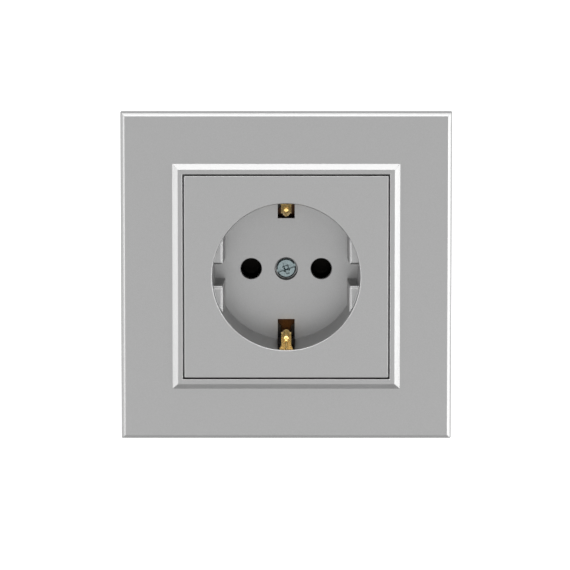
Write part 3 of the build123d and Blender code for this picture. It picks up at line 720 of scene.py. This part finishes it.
class SOCKET_OT_studio(bpy.types.Operator):
    """Set up the floor, the lights, the white background and the camera"""
    bl_idname = "socket.studio"
    bl_label = "Studio"

    def execute(self, context):
        self.floor()
        self.world()
        self.lights()
        self.camera()
        context.scene.view_settings.view_transform = "Standard"
        return {"FINISHED"}

    def floor(self):
        """A wide floor under the socket that glows white for the camera where it is far away."""
        settings = bpy.context.scene.studio_settings
        mesh = bmesh.new()
        bmesh.ops.create_grid(mesh, x_segments=1, y_segments=1, size=6)
        bmesh.ops.translate(mesh, verts=mesh.verts, vec=(0, 0, settings.floor_height))
        floor = bpy.data.objects.new("floor", bpy.data.meshes.new("floor"))
        mesh.to_mesh(floor.data)
        mesh.free()
        material = bpy.data.materials.new("pale floor")
        material.use_nodes = True
        tree = material.node_tree
        shader = tree.nodes["Principled BSDF"]
        shader.inputs["Base Color"].default_value = (*colours().floor, 1)
        shader.inputs["Roughness"].default_value = 0.9
        shader.inputs["Emission Color"].default_value = (1, 1, 1, 1)
        light_path = tree.nodes.new("ShaderNodeLightPath")
        glow = tree.nodes.new("ShaderNodeMath")
        glow.operation = "MULTIPLY"
        tree.links.new(white_for_camera(tree, light_path), glow.inputs[0])
        tree.links.new(self.far_mask(tree), glow.inputs[1])
        tree.links.new(glow.outputs[0], shader.inputs["Emission Strength"])
        floor.data.materials.append(material)
        bpy.context.scene.collection.objects.link(floor)

    def far_mask(self, tree):
        """0 round the socket, where the floor shows its shadow, and 1 where the floor is the background."""
        settings = bpy.context.scene.studio_settings
        place = tree.nodes.new("ShaderNodeTexCoord")
        away = tree.nodes.new("ShaderNodeVectorMath")
        away.operation = "LENGTH"
        tree.links.new(place.outputs["Object"], away.inputs[0])
        mask = tree.nodes.new("ShaderNodeMapRange")
        mask.interpolation_type = "SMOOTHSTEP"
        mask.inputs["From Min"].default_value = settings.shadow_radius
        mask.inputs["From Max"].default_value = settings.white_radius
        tree.links.new(away.outputs["Value"], mask.inputs["Value"])
        return mask.outputs["Result"]

    def world(self):
        """A plain light from all sides that the camera sees as white."""
        world = bpy.data.worlds.new("studio")
        world.use_nodes = True
        tree = world.node_tree
        background = tree.nodes["Background"]
        background.inputs["Color"].default_value = (1, 1, 1, 1)
        light_path = tree.nodes.new("ShaderNodeLightPath")
        strength = ranged(tree, white_for_camera(tree, light_path), bpy.context.scene.studio_settings.world, 1)
        tree.links.new(strength, background.inputs["Strength"])
        bpy.context.scene.world = world

    def lights(self):
        """One light above and one at each side, all a little in front of the socket."""
        settings = bpy.context.scene.studio_settings
        area_light("top light", settings.top_light, 1.6, 1.14, (0, -0.33, 0.9), (0, -0.33, 0))
        area_light("left light", settings.left_light, 0.9, 0.9, (-0.9, -0.4, 0.15), (0, -0.4, 0.15))
        area_light("right light", settings.right_light, 1.1, 0.9, (0.9, -0.2, 0.15), (0, -0.2, 0.15))

    def camera(self):
        """The photo's view, from a little above and aimed just left of and below the middle of the plate."""
        settings = bpy.context.scene.studio_settings
        aim = Vector((-0.33 * millimetre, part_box("centre_plate")[0].y, -2.11 * millimetre))
        lens = bpy.data.cameras.new("camera")
        lens.lens = settings.lens
        lens.sensor_width = 36
        lens.clip_end = 50
        camera = bpy.data.objects.new("camera", lens)
        back = Vector((0, -cos(settings.elevation), sin(settings.elevation)))
        camera.location = aim + settings.distance * back
        camera.rotation_euler = (-back).to_track_quat("-Z", "Y").to_euler()
        bpy.context.scene.collection.objects.link(camera)
        bpy.context.scene.camera = camera


class SOCKET_PT_panel(bpy.types.Panel):
    """Lists the steps that build the socket's looks"""
    bl_idname = "SOCKET_PT_panel"
    bl_label = "Wall Socket"
    bl_space_type = "VIEW_3D"
    bl_region_type = "UI"
    bl_category = "Wall Socket"

    def draw(self, context):
        for operator in operators:
            self.layout.operator(operator.bl_idname)
        for settings in ("socket_colours", "socket_sizes", "studio_settings"):
            box = self.layout.box()
            group = getattr(context.scene, settings)
            for name in group.bl_rna.properties.keys():
                if name not in ("name", "rna_type"):
                    box.prop(group, name)


operators = (
    SOCKET_OT_cover_frame,
    SOCKET_OT_centre_plate,
    SOCKET_OT_earth_strap,
    SOCKET_OT_base_body,
    SOCKET_OT_sheet_parts,
    SOCKET_OT_screws,
    SOCKET_OT_contacts,
    SOCKET_OT_studio,
)
property_groups = {
    "socket_colours": SocketColours,
    "socket_sizes": SocketSizes,
    "studio_settings": StudioSettings,
}


def register():
    for group in property_groups.values():
        bpy.utils.register_class(group)
    for name, group in property_groups.items():
        setattr(bpy.types.Scene, name, bpy.props.PointerProperty(type=group))
    for operator in operators:
        bpy.utils.register_class(operator)
    bpy.utils.register_class(SOCKET_PT_panel)


def unregister():
    bpy.utils.unregister_class(SOCKET_PT_panel)
    for operator in reversed(operators):
        bpy.utils.unregister_class(operator)
    for name, group in property_groups.items():
        delattr(bpy.types.Scene, name)
        bpy.utils.unregister_class(group)


def main():
    register()
    for operator in operators:
        getattr(bpy.ops.socket, operator.bl_idname.split(".")[1])()


if __name__ == "__main__":
    main()
